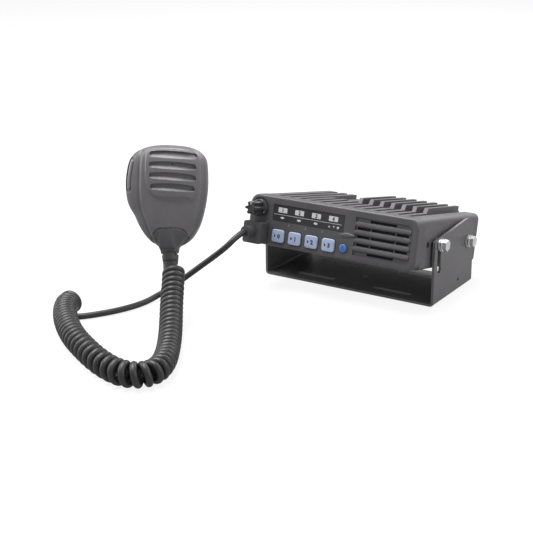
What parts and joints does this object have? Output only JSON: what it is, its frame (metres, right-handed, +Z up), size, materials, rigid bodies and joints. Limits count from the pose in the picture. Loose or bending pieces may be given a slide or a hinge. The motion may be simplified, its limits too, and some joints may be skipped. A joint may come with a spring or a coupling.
{
  "type": "mobile transceiver",
  "caption": "Box-shaped two-way vehicle radio in a tilting U bracket, with a fist microphone on a hanger and a coiled cord plugged into its front.",
  "frame": {"origin": "centre of the bracket's base, on its underside", "axes": "+Z up; +X to the right as seen from the front; the radio's front faces -Y"},
  "size_m": [0.247, 0.3543, 0.1299],
  "materials": {
    "panel_plastic": "fine satin texture, charcoal",
    "window_smoke": "polished smoke",
    "light_pipe": "frosted clear",
    "lamp_white": "frosted white",
    "key_rubber": "translucent pale blue",
    "power_blue": "lit blue",
    "knob_black": "satin black",
    "switch_metal": "plain",
    "board_green": "solder mask",
    "part_black": "moulded black",
    "plug_clear": "clear modular plug",
    "boot_rubber": "matt black",
    "speaker_steel": "stamped",
    "speaker_paper": "paper cone",
    "magnet_ferrite": "ferrite",
    "felt_black": "thin felt",
    "shield_tin": "tinned",
    "nickel": "nickel plate",
    "insulator_white": "moulded",
    "chassis_black": "die-cast, satin black paint",
    "cover_black": "satin black sheet steel",
    "screw_black": "black oxide",
    "bolt_chrome": "bright nickel",
    "bracket_black": "satin black powder coat",
    "hanger_steel": "zinc plated",
    "mic_plastic": "charcoal, fine texture",
    "mic_foil": "capsule can",
    "ptt_plastic": "satin black",
    "button_steel": "polished",
    "cord_black": "semi-gloss black jacket"
  },
  "bodies": {
    "bracket": {"mounting_bracket": "bracket_black", "mic_hanger": "hanger_steel", "mic_cord_coil": "cord_black", "mic_cord_lead": "cord_black"},
    "radio": {"front_panel": "panel_plastic", "display_window": "window_smoke", "indicator_lights": "light_pipe", "channel_lamps": "lamp_white", "key_switches": "switch_metal", "front_board": "board_green", "volume_control": "part_black", "mic_jack": "part_black", "cord_plug": "plug_clear", "plug_boot": "boot_rubber", "speaker_frame": "speaker_steel", "speaker_cone": "speaker_paper", "speaker_magnet": "magnet_ferrite", "grille_felt": "felt_black", "main_board": "board_green", "power_amplifier": "part_black", "shield_can": "shield_tin", "antenna_socket": "nickel", "antenna_insulator": "insulator_white", "power_inlet": "part_black", "speaker_socket": "part_black", "chassis": "chassis_black", "bottom_cover": "cover_black", "cover_screws": "screw_black", "front_bolts": "bolt_chrome", "rear_bolts": "bolt_chrome", "flat_washers": "bolt_chrome", "spring_washers": "bolt_chrome"},
    "volume_knob": {"volume_knob": "knob_black", "knob_shaft": "switch_metal"},
    "key_0": {"function_key_0": "key_rubber"},
    "key_1": {"function_key_1": "key_rubber"},
    "key_2": {"function_key_2": "key_rubber"},
    "key_3": {"function_key_3": "key_rubber"},
    "power_key": {"power_key": "power_blue"},
    "microphone": {"mic_front_cover": "mic_plastic", "mic_back_cover": "mic_plastic", "mic_boot": "boot_rubber", "mic_board": "board_green", "mic_capsule": "mic_foil", "ptt_switch": "part_black", "mic_screws": "screw_black", "hang_button": "button_steel"},
    "ptt": {"ptt_button": "ptt_plastic"}
  },
  "joints": [
    {"name": "radio_tilt", "type": "hinge", "parent": "bracket", "child": "radio", "pos_m": [0, 0.0246, 0.0379], "axis": [1, 0, 0], "range_deg": [0, 22]},
    {"name": "volume_turn", "type": "hinge", "parent": "radio", "child": "volume_knob", "pos_m": [-0.0648, -0.06155, 0.06611], "axis": [0, 0.9789, -0.2045], "range_deg": [-140, 140]},
    {"name": "key_0_press", "type": "slide", "parent": "radio", "child": "key_0", "axis": [0, 0.9789, -0.2045], "range_m": [0, 0.0008], "stiffness_N_per_m": 900, "springref_m": -0.0004},
    {"name": "key_1_press", "type": "slide", "parent": "radio", "child": "key_1", "axis": [0, 0.9789, -0.2045], "range_m": [0, 0.0008], "stiffness_N_per_m": 900, "springref_m": -0.0004},
    {"name": "key_2_press", "type": "slide", "parent": "radio", "child": "key_2", "axis": [0, 0.9789, -0.2045], "range_m": [0, 0.0008], "stiffness_N_per_m": 900, "springref_m": -0.0004},
    {"name": "key_3_press", "type": "slide", "parent": "radio", "child": "key_3", "axis": [0, 0.9789, -0.2045], "range_m": [0, 0.0008], "stiffness_N_per_m": 900, "springref_m": -0.0004},
    {"name": "power_press", "type": "slide", "parent": "radio", "child": "power_key", "axis": [0, 0.9789, -0.2045], "range_m": [0, 0.0007], "stiffness_N_per_m": 900, "springref_m": -0.0004},
    {"name": "mic_lift", "type": "slide", "parent": "bracket", "child": "microphone", "axis": [-0.1603, 0.2094, 0.9646], "range_m": [0, 0.014]},
    {"name": "ptt_press", "type": "slide", "parent": "microphone", "child": "ptt", "axis": [0.9059, 0.4092, -0.1093], "range_m": [0, 0.0015], "stiffness_N_per_m": 1200, "springref_m": -0.001}
  ]
}
